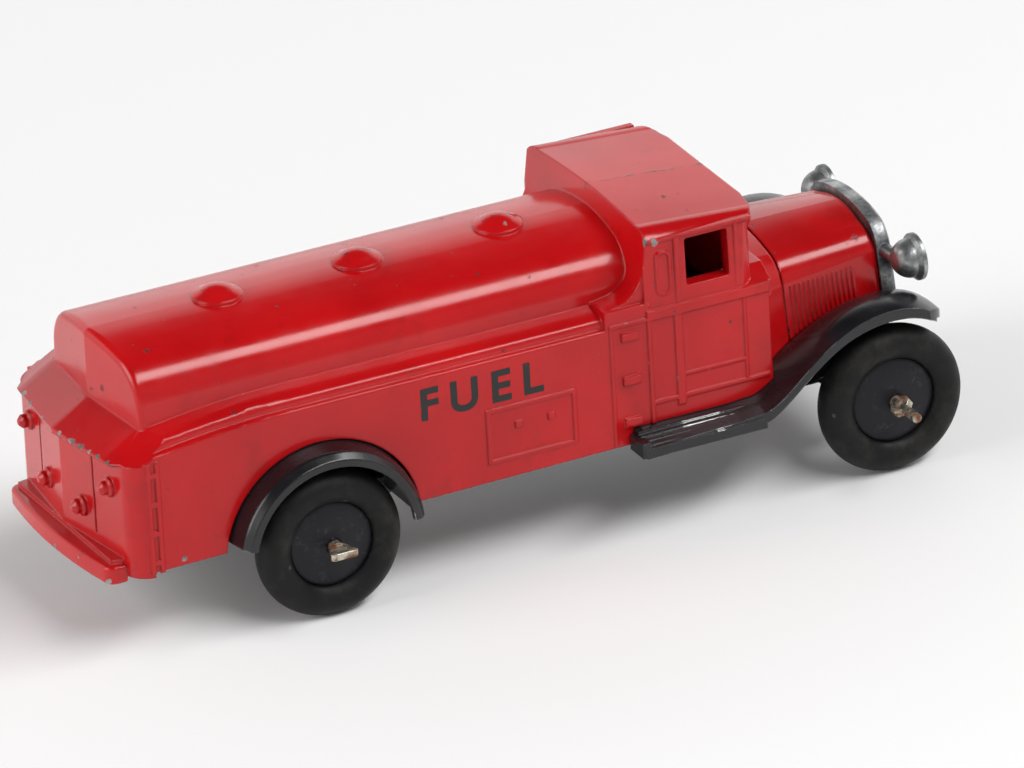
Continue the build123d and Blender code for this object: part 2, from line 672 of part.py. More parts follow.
# ---- radiator and headlamps ----
def radiator_section(x, grow):
    """The radiator shell's outline at x, grown outwards by a distance."""
    top, shoulder = 26.75 + grow, (5.4 + 0.3 * grow, 26.1 + grow)
    turn, side = (7.45 + 0.75 * grow, 24.85 + 0.75 * grow), (8.35 + grow, 22.6)
    crown = ThreePointArc((0, top), (3.0, top - 0.15), shoulder)
    curve = ThreePointArc(shoulder, turn, side)
    foot = PLATE_Z + PLATE_THICK
    rest = Polyline(side, (10.0 + grow, 14.0), (8.6 + grow, foot), (0, foot))
    close = Line((0, foot), (0, top))
    return Plane.YZ.offset(x) * mirrored_face([crown, curve, rest, close])


def headlamp():
    """A bowl headlamp along +X on its arm, with a shallow domed glass cast in its mouth."""
    back_x = 47.55
    mouth_x = 50.85
    points = [
        dome(2.25, 2.2, 0.0),
        Polyline((2.25, 2.2), (LAMP_RIM_R, 2.7), (LAMP_RIM_R, 3.15), (2.3, 3.3), (2.2, 3.0)),
        dome(2.2, 3.0, 3.28),
        Line((0, 3.28), (0, 0)),
    ]
    bowl = revolve(Plane.XZ * make_face(points), Axis.Z)
    bowl = Pos(back_x, LAMP_AXIS_Y, LAMP_AXIS_Z) * Rot(0, 90, 0) * bowl
    start = Vector(BONNET_FRONT_X + 0.95, 7.6, 22.7)
    end = Vector(back_x + 0.95, LAMP_AXIS_Y, LAMP_AXIS_Z)
    reach = (end - start).length
    arm_plane = Plane(origin=start, z_dir=end - start)
    arm = arm_plane * (Pos(0, 0, reach / 2) * Cone(0.9, 0.75, reach))
    return bowl + arm


def radiator_headlamps():
    """The bare zinc casting: radiator shell, upright bars and both headlamps."""
    rear_x = BONNET_FRONT_X + 0.05
    outline = radiator_section(rear_x, 0)
    shell = extrude(outline, RADIATOR_FRONT_X - rear_x)
    front_edges = shell.edges().group_by(Axis.X)[-1]
    shell = soften(shell, front_edges, 0.55)
    mouth = extrude(radiator_section(RADIATOR_FRONT_X - 0.7, -1.5), 3)
    mouth &= block(40, 60, -20, 20, 12.2, 40)
    shell -= mouth
    bars = []
    count = 11
    for i in range(count):
        y = i - (count - 1) / 2
        bars.append(block(RADIATOR_FRONT_X - 1.0, RADIATOR_FRONT_X - 0.25, y - 0.2, y + 0.2, 12.0, 27))
    core = extrude(radiator_section(RADIATOR_FRONT_X - 1.5, -1.3), 3)
    shell += [bar & core for bar in bars]
    shell -= both(front_wing_sheet(solid=True))
    return shell + both(headlamp())


# ---- wheels and axles ----
def hub(side):
    """A cast hub with a plain low domed face, bored for the axle."""
    profile = [
        Polyline((0, -1.5), (2.0, -1.5), (2.0, -1.1), (RIM_R - 0.9, -1.1), (RIM_R, -1.3), (RIM_R, 0.95)),
        dome(RIM_R, 0.95, 1.75),
        Line((0, 1.75), (0, -1.5)),
    ]
    body = revolve(Plane.XZ * make_face(profile), Axis.Z)
    body -= Cylinder(AXLE_R + RUNNING_CLEARANCE, 10)
    return Rot(-90 * side, 0, 0) * body


def tyre():
    """A smooth round-section tyre, stretched on the rim."""
    mid_r = (RIM_R - 0.35 + TYRE_R) / 2
    section = Pos(mid_r, 0) * Ellipse(TYRE_R - mid_r, TYRE_HALF_W)
    ring = revolve(Plane.XZ * section, Axis.Z)
    ring -= Cylinder(RIM_R, 10)
    return Rot(90, 0, 0) * ring


def wheel_places():
    """Name and centre of each wheel, with +1 on the left and -1 on the right."""
    places = []
    for end, x in (("front", FRONT_AXLE_X), ("rear", REAR_AXLE_X)):
        for hand, side in (("left", 1), ("right", -1)):
            places.append((f"{end}_{hand}", x, side))
    return places


def rear_axle():
    """A plain wire axle, each end pressed into a flat fan outside the hub."""
    start_y, end_y = 17.9, 20.3
    rod = disc_y(AXLE_R, 0, -start_y - 0.4, start_y + 0.4, 0)
    fan = [
        (-0.8, start_y - 0.2),
        (-1.65, end_y - 0.3),
        (-1.3, end_y),
        (1.3, end_y),
        (1.65, end_y - 0.3),
        (0.8, start_y - 0.2),
    ]
    end = run_z(face_of(fan), -0.42, 0.42)
    end = soften(end, end.edges(), 0.12)
    return Pos(REAR_AXLE_X, 0, TYRE_R) * (rod + both(end))


def front_axle():
    """A plain wire axle with a nip outside each hub and a blunt end left standing."""
    nip_y, end_y = 18.9, 22.6
    rod = disc_y(AXLE_R, 0, -nip_y, nip_y, 0)
    stub = disc_y(0.56, 0, nip_y - 0.3, end_y, 0)
    stub = soften(stub, stub.edges().group_by(Axis.Y)[-1], 0.15)
    nip = [
        (-0.8, nip_y - 1.2),
        (-1.2, nip_y - 0.5),
        (-1.15, nip_y + 0.3),
        (-0.6, nip_y + 0.8),
        (0.6, nip_y + 0.8),
        (1.15, nip_y + 0.3),
        (1.2, nip_y - 0.5),
        (0.8, nip_y - 1.2),
    ]
    ears = run_z(face_of(nip), -0.5, 0.5)
    ears = Rot(0, -35, 0) * soften(ears, ears.edges(), 0.15)
    return Pos(FRONT_AXLE_X, 0, TYRE_R) * (rod + both(stub) + both(ears))


def build_all():
    """Every node's solid, by name."""
    nodes = {
        "tank_cab_body": tank_cab_body(),
        "chassis": chassis(),
        "radiator_headlamps": radiator_headlamps(),
        "front_axle": front_axle(),
        "rear_axle": rear_axle(),
    }
    for name, x, side in wheel_places():
        place = Pos(x, side * TRACK_HALF, TYRE_R)
        nodes[f"{name}_hub"] = place * hub(side)
        nodes[f"{name}_tyre"] = place * tyre()
    return nodes


os.makedirs("parts", exist_ok=True)
for node, shape in build_all().items():
    export_step(Pos(-CENTRE_X, 0, 0) * shape, f"parts/{node}.step")
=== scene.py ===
import json
from math import cos, pi, radians, sin

import bmesh
import bpy
from mathutils import Matrix, Vector


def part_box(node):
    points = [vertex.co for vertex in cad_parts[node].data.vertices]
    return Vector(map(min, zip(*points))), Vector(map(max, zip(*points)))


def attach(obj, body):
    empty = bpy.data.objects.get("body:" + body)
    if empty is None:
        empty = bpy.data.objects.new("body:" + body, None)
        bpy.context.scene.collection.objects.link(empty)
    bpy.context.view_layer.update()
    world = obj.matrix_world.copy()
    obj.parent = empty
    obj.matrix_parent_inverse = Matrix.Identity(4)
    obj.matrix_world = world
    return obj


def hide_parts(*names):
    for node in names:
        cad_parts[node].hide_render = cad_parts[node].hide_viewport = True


# A small die-cast petrol tanker: enamelled castings, bare zinc radiator, wire axles, rubber tyres.
# Lengths below are in metres; MM turns millimetres into metres.

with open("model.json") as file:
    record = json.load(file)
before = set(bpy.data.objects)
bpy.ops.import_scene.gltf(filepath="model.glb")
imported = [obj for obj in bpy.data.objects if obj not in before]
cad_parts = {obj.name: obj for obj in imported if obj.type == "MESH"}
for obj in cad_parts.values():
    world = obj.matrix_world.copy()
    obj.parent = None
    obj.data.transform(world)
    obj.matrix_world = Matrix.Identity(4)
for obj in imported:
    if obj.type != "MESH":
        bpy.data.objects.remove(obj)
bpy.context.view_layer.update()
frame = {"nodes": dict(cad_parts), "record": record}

MM = 0.001
NODES = frame["nodes"]
WHEELS = ("front_left", "front_right", "rear_left", "rear_right")


# ---------------------------------------------------------------- node helpers
def new_material(name):
    """An empty node material with its Principled shader wired to the output."""
    material = bpy.data.materials.new(name)
    material.use_nodes = True
    tree = material.node_tree
    tree.nodes.clear()
    output = tree.nodes.new("ShaderNodeOutputMaterial")
    shader = tree.nodes.new("ShaderNodeBsdfPrincipled")
    tree.links.new(shader.outputs["BSDF"], output.inputs["Surface"])
    return material, tree, shader


def node(tree, kind, **values):
    """A node with properties set by name; a key that starts with i_ sets the input of that name."""
    made = tree.nodes.new(kind)
    for key, value in values.items():
        if key.startswith("i_"):
            made.inputs[key[2:].replace("_", " ")].default_value = value
        else:
            setattr(made, key, value)
    return made


def link(tree, source, target):
    """Join an output socket to an input socket."""
    tree.links.new(source, target)


def object_coords(tree):
    """Object coordinates, in metres."""
    return node(tree, "ShaderNodeTexCoord").outputs["Object"]


def noise(tree, vector, scale, detail=3.0, roughness=0.5):
    """Noise between 0 and 1, with its scale in cycles per metre."""
    made = node(tree, "ShaderNodeTexNoise", i_Scale=scale, i_Detail=detail, i_Roughness=roughness)
    link(tree, vector, made.inputs["Vector"])
    return made.outputs["Fac"]


def remap(tree, value, low, high, to_low=0.0, to_high=1.0):
    """A clamped linear ramp from low..high to to_low..to_high."""
    ends = {"i_From_Min": low, "i_From_Max": high, "i_To_Min": to_low, "i_To_Max": to_high}
    made = node(tree, "ShaderNodeMapRange", **ends)
    link(tree, value, made.inputs["Value"])
    return made.outputs["Result"]


def math(tree, operation, a, b):
    """A Math node on two values, each a socket or a number."""
    made = node(tree, "ShaderNodeMath", operation=operation)
    for socket, value in zip(made.inputs, (a, b)):
        if isinstance(value, (int, float)):
            socket.default_value = value
        else:
            link(tree, value, socket)
    return made.outputs["Value"]


def mix_color(tree, factor, a, b):
    """Mix of two colours, each a socket or an RGB triple."""
    made = node(tree, "ShaderNodeMix", data_type="RGBA")
    link(tree, factor, made.inputs["Factor"])
    for name, value in (("A", a), ("B", b)):
        socket = [s for s in made.inputs if s.name == name and s.type == "RGBA"][0]
        if isinstance(value, tuple):
            socket.default_value = (*value, 1)
        else:
            link(tree, value, socket)
    return [s for s in made.outputs if s.type == "RGBA"][0]


# ---------------------------------------------------------------- shared groups
def build_group(name, inputs, outputs):
    """An empty node group with the named sockets."""
    group = bpy.data.node_groups.new(name, "ShaderNodeTree")
    for socket, kind, value in inputs:
        made = group.interface.new_socket(socket, in_out="INPUT", socket_type=kind)
        if value is not None:
            made.default_value = value
    for socket, kind in outputs:
        group.interface.new_socket(socket, in_out="OUTPUT", socket_type=kind)
    return group, group.nodes.new("NodeGroupInput"), group.nodes.new("NodeGroupOutput")


def edge_wear_group():
    """Where paint has gone from outer edges: the edge itself, broken up by noise, plus stray chips."""
    inputs = [
        ("Radius", "NodeSocketFloat", 0.3 * MM),
        ("Amount", "NodeSocketFloat", 0.5),
        ("Chip Size", "NodeSocketFloat", 900.0),
    ]
    group, start, end = build_group("edge_wear", inputs, [("Mask", "NodeSocketFloat")])
    bevel = node(group, "ShaderNodeBevel", samples=6)
    link(group, start.outputs["Radius"], bevel.inputs["Radius"])
    geometry = node(group, "ShaderNodeNewGeometry")
    dot = node(group, "ShaderNodeVectorMath", operation="DOT_PRODUCT")
    link(group, bevel.outputs["Normal"], dot.inputs[0])
    link(group, geometry.outputs["Normal"], dot.inputs[1])
    edge = remap(group, dot.outputs["Value"], 0.995, 0.86)
    coords = object_coords(group)
    grain = node(group, "ShaderNodeTexNoise", i_Detail=4.0, i_Roughness=0.6)
    link(group, coords, grain.inputs["Vector"])
    link(group, start.outputs["Chip Size"], grain.inputs["Scale"])
    patches = noise(group, coords, 160.0, 2.0)
    spread = math(group, "MULTIPLY", grain.outputs["Fac"], remap(group, patches, 0.42, 0.62))
    level = math(group, "MULTIPLY", edge, spread)
    cut = math(group, "SUBTRACT", 0.62, math(group, "MULTIPLY", start.outputs["Amount"], 0.4))
    sharp = math(group, "MULTIPLY", math(group, "SUBTRACT", level, cut), 14.0)
    clamp = node(group, "ShaderNodeClamp")
    link(group, sharp, clamp.inputs["Value"])
    link(group, clamp.outputs["Result"], end.inputs["Mask"])
    return group


def specks_group():
    """Small round pits and dirt specks scattered over a surface."""
    inputs = [
        ("Scale", "NodeSocketFloat", 420.0),
        ("Size", "NodeSocketFloat", 0.12),
        ("Share", "NodeSocketFloat", 0.5),
    ]
    group, start, end = build_group("specks", inputs, [("Mask", "NodeSocketFloat")])
    coords = object_coords(group)
    cells = node(group, "ShaderNodeTexVoronoi", feature="F1")
    link(group, coords, cells.inputs["Vector"])
    link(group, start.outputs["Scale"], cells.inputs["Scale"])
    separate = node(group, "ShaderNodeSeparateColor")
    link(group, cells.outputs["Color"], separate.inputs["Color"])
    chosen = math(group, "LESS_THAN", separate.outputs["Red"], start.outputs["Share"])
    radius = math(group, "MULTIPLY", start.outputs["Size"], separate.outputs["Green"])
    ragged = math(group, "SUBTRACT", noise(group, coords, 2600.0, 3.0, 0.7), 0.5)
    ragged = math(group, "MULTIPLY", ragged, 0.35)
    inside = math(group, "SUBTRACT", radius, math(group, "ADD", cells.outputs["Distance"], ragged))
    soft = math(group, "MULTIPLY", inside, 25.0)
    clamp = node(group, "ShaderNodeClamp")
    link(group, soft, clamp.inputs["Value"])
    link(group, math(group, "MULTIPLY", clamp.outputs["Result"], chosen), end.inputs["Mask"])
    return group


def paint_relief_group():
    """Height of an old sprayed surface: a slight orange peel over the uneven casting."""
    inputs = [("Peel", "NodeSocketFloat", 1.0), ("Unevenness", "NodeSocketFloat", 1.0)]
    group, start, end = build_group("paint_relief", inputs, [("Height", "NodeSocketFloat")])
    coords = object_coords(group)
    fine = math(group, "MULTIPLY", noise(group, coords, 900.0, 2.0), start.outputs["Peel"])
    broad = math(group, "MULTIPLY", noise(group, coords, 120.0, 2.0), start.outputs["Unevenness"])
    total = math(group, "ADD", math(group, "MULTIPLY", fine, 0.25), broad)
    link(group, total, end.inputs["Height"])
    return group


def chips_group(places):
    """Bare patches at given places: a ragged blot round each point."""
    inputs = [("Ragged", "NodeSocketFloat", 0.5)]
    group, start, end = build_group("chips", inputs, [("Mask", "NodeSocketFloat")])
    coords = object_coords(group)
    ragged = math(group, "SUBTRACT", noise(group, coords, 1500.0, 4.0, 0.65), 0.5)
    ragged = math(group, "MULTIPLY", ragged, start.outputs["Ragged"])
    total = None
    for place, radius in places:
        distance = node(group, "ShaderNodeVectorMath", operation="DISTANCE")
        link(group, coords, distance.inputs[0])
        distance.inputs[1].default_value = place
        reach = math(group, "DIVIDE", distance.outputs["Value"], radius)
        inside = remap(group, math(group, "ADD", reach, math(group, "MULTIPLY", ragged, 6.0)), 1.0, 0.85)
        total = inside if total is None else math(group, "MAXIMUM", total, inside)
    link(group, total, end.inputs["Mask"])
    return group


def body_point(along, across, up):
    """A point on the red casting, in mm ahead of its tail, left of the middle and above the ground."""
    return (BODY_LO[0] + along * MM, across * MM, up * MM)


BODY_LO, BODY_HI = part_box("tank_cab_body")
CHIP_PLACES = [
    (body_point(66.8, -14.7, 34.1), 0.55 * MM),
    (body_point(68.2, -14.8, 33.9), 0.5 * MM),
    (body_point(66.6, -13.2, 35.0), 0.45 * MM),
    (body_point(66.7, -9.5, 35.6), 0.28 * MM),
    (body_point(66.6, 7.4, 35.5), 0.35 * MM),
    (body_point(0.3, -1.2, 8.8), 0.45 * MM),
    (body_point(0.5, -6.6, 9.6), 0.3 * MM),
    (body_point(1.1, -12.4, 8.6), 0.4 * MM),
    (body_point(26.4, -2.3, 34.3), 0.3 * MM),
    (body_point(56.3, -2.0, 34.4), 0.35 * MM),
    (body_point(9.3, -15.2, 10.6), 0.35 * MM),
]

# Chips along the deck's rear edge, a shallow V in plan: each is its place across and its size, in mm.
DECK_EDGE_Z = 22.35
DECK_EDGE_RAKE = 0.117
DECK_EDGE_START = 1.05
DECK_EDGE_CHIPS = (
    (-12.2, 0.3),
    (-11.2, 0.4),
    (-9.4, 0.36),
    (-7.6, 0.3),
    (-5.9, 0.42),
    (-4.4, 0.3),
    (-3.7, 0.36),
    (-1.5, 0.34),
    (3.2, 0.3),
    (7.5, 0.35),
    (9.9, 0.5),
)
for across, size in DECK_EDGE_CHIPS:
    along = DECK_EDGE_START + DECK_EDGE_RAKE * abs(across)
    CHIP_PLACES.append((body_point(along, across, DECK_EDGE_Z), size * MM))

EDGE_WEAR = edge_wear_group()
SPECKS = specks_group()
PAINT_RELIEF = paint_relief_group()
CHIPS = chips_group(CHIP_PLACES)


def use_group(tree, group, output, **values):
    made = tree.nodes.new("ShaderNodeGroup")
    made.node_tree = group
    for key, value in values.items():
        made.inputs[key.replace("_", " ")].default_value = value
    return made.outputs[output]


def bump(tree, height, strength, distance, bevel_radius):
    """Bump over a normal that rounds the small sharp edges."""
    bevel = node(tree, "ShaderNodeBevel", samples=6, i_Radius=bevel_radius)
    made = node(tree, "ShaderNodeBump", i_Strength=strength, i_Distance=distance)
    link(tree, height, made.inputs["Height"])
    link(tree, bevel.outputs["Normal"], made.inputs["Normal"])
    return made.outputs["Normal"]


# ---------------------------------------------------------------- materials
def parting_crack(tree, coords):
    """The dark broken line along the middle of the cab roof."""
    separate = node(tree, "ShaderNodeSeparateXYZ")
    link(tree, coords, separate.inputs["Vector"])
    sway = math(tree, "SUBTRACT", noise(tree, coords, 420.0, 3.0, 0.7), 0.5)
    across = math(tree, "ADD", separate.outputs["Y"], math(tree, "MULTIPLY", sway, 1.6 * MM))
    near = remap(tree, math(tree, "ABSOLUTE", across, 0.0), 0.14 * MM, 0.07 * MM)
    roof = math(tree, "GREATER_THAN", separate.outputs["Z"], BODY_HI[2] - 1.6 * MM)
    broken = remap(tree, noise(tree, coords, 700.0, 4.0, 0.7), 0.44, 0.54)
    return math(tree, "MULTIPLY", math(tree, "MULTIPLY", near, roof), broken)


def red_enamel():
    """Gloss red stoving enamel, chipped to grey metal at a few corners, specked and faintly stained."""
    material, tree, shader = new_material("red_enamel")
    coords = object_coords(tree)
    tone = remap(tree, noise(tree, coords, 70.0, 4.0), 0.35, 0.65)
    red = mix_color(tree, tone, (0.42, 0.0028, 0.005), (0.51, 0.005, 0.007))
    stain = remap(tree, noise(tree, coords, 130.0, 6.0, 0.72), 0.56, 0.74, 0.0, 0.45)
    red = mix_color(tree, stain, red, (0.20, 0.006, 0.006))
    coarse = use_group(tree, SPECKS, "Mask", Scale=300.0, Size=0.13, Share=0.45)
    fine = use_group(tree, SPECKS, "Mask", Scale=950.0, Size=0.22, Share=0.10)
    speck = math(tree, "MAXIMUM", math(tree, "MULTIPLY", coarse, 0.85), math(tree, "MULTIPLY", fine, 0.55))
    red = mix_color(tree, speck, red, (0.075, 0.010, 0.010))
    crack = parting_crack(tree, coords)
    red = mix_color(tree, crack, red, (0.045, 0.012, 0.012))
    edge = use_group(tree, EDGE_WEAR, "Mask", Radius=0.3 * MM, Amount=0.05, Chip_Size=800.0)
    worn = math(tree, "MAXIMUM", edge, use_group(tree, CHIPS, "Mask", Ragged=0.55))
    dull = remap(tree, noise(tree, coords, 900.0, 3.0), 0.42, 0.58)
    metal = mix_color(tree, dull, (0.10, 0.085, 0.08), (0.30, 0.27, 0.25))
    link(tree, mix_color(tree, worn, red, metal), shader.inputs["Base Color"])
    smear = remap(tree, noise(tree, coords, 240.0, 4.0, 0.6), 0.3, 0.75, 0.12, 0.24)
    rough = math(tree, "ADD", smear, math(tree, "MULTIPLY", math(tree, "MAXIMUM", worn, speck), 0.3))
    link(tree, rough, shader.inputs["Roughness"])
    relief = use_group(tree, PAINT_RELIEF, "Height", Peel=0.8, Unevenness=1.0)
    height = math(tree, "SUBTRACT", relief, math(tree, "MAXIMUM", math(tree, "MULTIPLY", worn, 1.2), speck))
    link(tree, bump(tree, height, 0.28, 0.05 * MM, 0.34 * MM), shader.inputs["Normal"])
    shader.inputs["IOR"].default_value = 1.44
    return material


def black_enamel():
    """Gloss black enamel with bare metal showing on rubbed edges."""
    material, tree, shader = new_material("black_enamel")
    coords = object_coords(tree)
    tone = remap(tree, noise(tree, coords, 200.0, 4.0), 0.35, 0.7)
    black = mix_color(tree, tone, (0.006, 0.006, 0.007), (0.014, 0.014, 0.017))
    worn = use_group(tree, EDGE_WEAR, "Mask", Radius=0.25 * MM, Amount=0.75, Chip_Size=1300.0)
    link(tree, mix_color(tree, worn, black, (0.45, 0.45, 0.44)), shader.inputs["Base Color"])
    link(tree, worn, shader.inputs["Metallic"])
    smear = remap(tree, noise(tree, coords, 300.0, 4.0), 0.3, 0.75, 0.16, 0.34)
    link(tree, smear, shader.inputs["Roughness"])
    relief = use_group(tree, PAINT_RELIEF, "Height", Peel=1.0, Unevenness=1.0)
    link(tree, bump(tree, relief, 0.3, 0.05 * MM, 0.2 * MM), shader.inputs["Normal"])
    return material


def bare_zinc():
    """Dull grey cast zinc, mottled by oxide, brighter where handled."""
    material, tree, shader = new_material("bare_zinc")
    coords = object_coords(tree)
    blotch = remap(tree, noise(tree, coords, 420.0, 5.0, 0.65), 0.36, 0.64)
    grain = noise(tree, coords, 1900.0, 3.0, 0.7)
    zinc = mix_color(tree, blotch, (0.12, 0.125, 0.13), (0.42, 0.43, 0.43))
    dark = mix_color(tree, remap(tree, grain, 0.55, 0.75, 0, 0.6), zinc, (0.05, 0.05, 0.05))
    link(tree, dark, shader.inputs["Base Color"])
    shader.inputs["Metallic"].default_value = 0.85
    link(tree, remap(tree, blotch, 0, 1, 0.5, 0.3), shader.inputs["Roughness"])
    height = math(tree, "ADD", grain, blotch)
    link(tree, bump(tree, height, 0.35, 0.06 * MM, 0.15 * MM), shader.inputs["Normal"])
    return material


def axle_steel():
    """Tarnished steel wire with brown rust in patches."""
    material, tree, shader = new_material("axle_steel")
    coords = object_coords(tree)
    patch = remap(tree, noise(tree, coords, 700.0, 4.0, 0.6), 0.42, 0.58)
    steel = mix_color(tree, noise(tree, coords, 2500.0, 2.0), (0.42, 0.38, 0.30), (0.66, 0.62, 0.52))
    link(tree, mix_color(tree, patch, steel, (0.16, 0.065, 0.025)), shader.inputs["Base Color"])
    link(tree, remap(tree, patch, 0, 1, 0.95, 0.1), shader.inputs["Metallic"])
    link(tree, remap(tree, patch, 0, 1, 0.28, 0.7), shader.inputs["Roughness"])
    link(tree, bump(tree, patch, 0.4, 0.04 * MM, 0.08 * MM), shader.inputs["Normal"])
    return material


def hub_black():
    """Semi-gloss black paint on the hubs, with faint scuffs."""
    material, tree, shader = new_material("hub_black")
    shader.inputs["Specular IOR Level"].default_value = 0.25
    coords = object_coords(tree)
    scuff = remap(tree, noise(tree, coords, 800.0, 5.0, 0.7), 0.56, 0.74)
    black = mix_color(tree, scuff, (0.009, 0.009, 0.012), (0.035, 0.037, 0.045))
    link(tree, black, shader.inputs["Base Color"])
    link(tree, remap(tree, noise(tree, coords, 400.0), 0.3, 0.7, 0.3, 0.5), shader.inputs["Roughness"])
    relief = use_group(tree, PAINT_RELIEF, "Height", Peel=1.5, Unevenness=0.6)
    link(tree, bump(tree, relief, 0.35, 0.05 * MM, 0.1 * MM), shader.inputs["Normal"])
    return material


def tyre_rubber():
    """Old smooth rubber: matte black with dust and brownish scuffs on the tread."""
    material, tree, shader = new_material("tyre_rubber")
    shader.inputs["Specular IOR Level"].default_value = 0.22
    coords = object_coords(tree)
    dust = remap(tree, noise(tree, coords, 260.0, 6.0, 0.7), 0.5, 0.8)
    rubber = mix_color(tree, dust, (0.006, 0.0064, 0.0064), (0.030, 0.027, 0.023))
    speck = use_group(tree, SPECKS, "Mask", Scale=700.0, Size=0.2, Share=0.12)
    speckled = mix_color(tree, math(tree, "MULTIPLY", speck, 0.4), rubber, (0.12, 0.11, 0.1))
    link(tree, speckled, shader.inputs["Base Color"])
    link(tree, remap(tree, noise(tree, coords, 500.0, 4.0), 0.3, 0.7, 0.42, 0.62), shader.inputs["Roughness"])
    height = noise(tree, coords, 1500.0, 4.0, 0.6)
    link(tree, bump(tree, height, 0.35, 0.04 * MM, 0.1 * MM), shader.inputs["Normal"])
    return material


def lettering_black():
    """Thin black transfer, slightly duller than the enamel."""
    material, tree, shader = new_material("lettering_black")
    coords = object_coords(tree)
    worn = remap(tree, noise(tree, coords, 1400.0, 4.0, 0.6), 0.66, 0.72)
    link(tree, mix_color(tree, worn, (0.007, 0.006, 0.006), (0.25, 0.02, 0.02)), shader.inputs["Base Color"])
    link(tree, remap(tree, noise(tree, coords, 500.0), 0.3, 0.7, 0.25, 0.4), shader.inputs["Roughness"])
    return material


MATERIALS = {
    "red_enamel": red_enamel(),
    "black_enamel": black_enamel(),
    "bare_zinc": bare_zinc(),
    "axle_steel": axle_steel(),
    "hub_black": hub_black(),
    "tyre_rubber": tyre_rubber(),
    "lettering_black": lettering_black(),
}


# ---------------------------------------------------------------- pieces
def finish_piece(bm, name, material, body, slot, *replaced):
    """Turn a bmesh into a piece that rides on a body and stands for CAD nodes."""
    bmesh.ops.remove_doubles(bm, verts=bm.verts, dist=1e-6)
    bmesh.ops.recalc_face_normals(bm, faces=bm.faces)
    mesh = bpy.data.meshes.new(name)
    bm.to_mesh(mesh)
    bm.free()
    piece = bpy.data.objects.new(name, mesh)
    bpy.context.scene.collection.objects.link(piece)
    mesh.materials.append(MATERIALS[material])
    for face in mesh.polygons:
        face.use_smooth = True
    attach(piece, body)
    if replaced:
        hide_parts(*replaced)
    return piece


# Wheel sizes, in millimetres.
TYRE_BEAD_R = 5.0
TYRE_BEAD_OVERLAP = 0.35
TYRE_OUTLINE_STEPS = 40
HUB_RIM_R = 4.99
HUB_BORE_R = 0.8
HUB_BOSS_R = 2.0
HUB_FACE_INSET = 0.02
HUB_DOME_FALL = 0.72
HUB_DOME_STEPS = 12
SPIN_STEPS = 120


def spin_about_axle(bm, centre):
    """Spin the outline in bm round the Y axis through the wheel's centre."""
    bmesh.ops.spin(
        bm,
        geom=bm.verts[:] + bm.edges[:],
        cent=centre,
        axis=(0, 1, 0),
        angle=2 * pi,
        steps=SPIN_STEPS,
        use_merge=True,
    )


def build_tyre(name):
    """A smooth round tyre with a flat bead, standing in the place of its CAD node."""
    lo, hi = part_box(f"{name}_tyre")
    centre = (Vector(lo) + Vector(hi)) / 2
    outer_r = (hi[2] - lo[2]) / 2
    half_width = (hi[1] - lo[1]) / 2
    bead_r = TYRE_BEAD_R * MM
    middle_r = (outer_r + bead_r - TYRE_BEAD_OVERLAP * MM) / 2
    bm = bmesh.new()
    bmesh.ops.create_circle(bm, cap_ends=False, segments=TYRE_OUTLINE_STEPS, radius=1.0)
    for vert in bm.verts:
        reach = max(middle_r + vert.co.x * (outer_r - middle_r), bead_r)
        vert.co = centre + Vector((reach, vert.co.y * half_width, 0))
    spin_about_axle(bm, centre)
    wheel_body = f"{name}_wheel"
    finish_piece(bm, f"{name}_tyre_rubber", "tyre_rubber", wheel_body, "tyre_rubber", f"{name}_tyre")


def build_hub(name):
    """A hub with a low domed face, standing in the place of its CAD node."""
    lo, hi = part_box(f"{name}_hub")
    tyre_lo, tyre_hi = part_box(f"{name}_tyre")
    centre = (Vector(tyre_lo) + Vector(tyre_hi)) / 2
    side = 1 if centre.y > 0 else -1
    face = (hi[1] - centre.y if side > 0 else centre.y - lo[1]) / MM
    outline = [(HUB_BORE_R, face - HUB_FACE_INSET)]
    for i in range(1, HUB_DOME_STEPS + 1):
        r = HUB_BORE_R + (HUB_RIM_R - 0.14 - HUB_BORE_R) * i / HUB_DOME_STEPS
        outline.append((r, face - HUB_FACE_INSET - HUB_DOME_FALL * (r / HUB_RIM_R) ** 2))
    outline += [
        (HUB_RIM_R - 0.04, face - 0.8),
        (HUB_RIM_R, face - 0.9),
        (HUB_RIM_R, -1.25),
        (4.2, -1.1),
        (HUB_BOSS_R, -1.1),
        (HUB_BOSS_R, -1.45),
        (HUB_BORE_R, -1.45),
    ]
    bm = bmesh.new()
    verts = [bm.verts.new(centre + Vector((r * MM, side * y * MM, 0))) for r, y in outline]
    for a, b in zip(verts, verts[1:] + verts[:1]):
        bm.edges.new((a, b))
    spin_about_axle(bm, centre)
    wheel_body = f"{name}_wheel"
    finish_piece(bm, f"{name}_hub_painted", "hub_black", wheel_body, "hub_black", f"{name}_hub")


LETTER_HEIGHT = 3.9 * MM
LETTER_MIDDLE_X = 46.1 * MM
LETTER_FOOT_Z = 19.6 * MM
LETTER_WALL_Y = 15.004 * MM
LETTER_THICK = 0.016 * MM


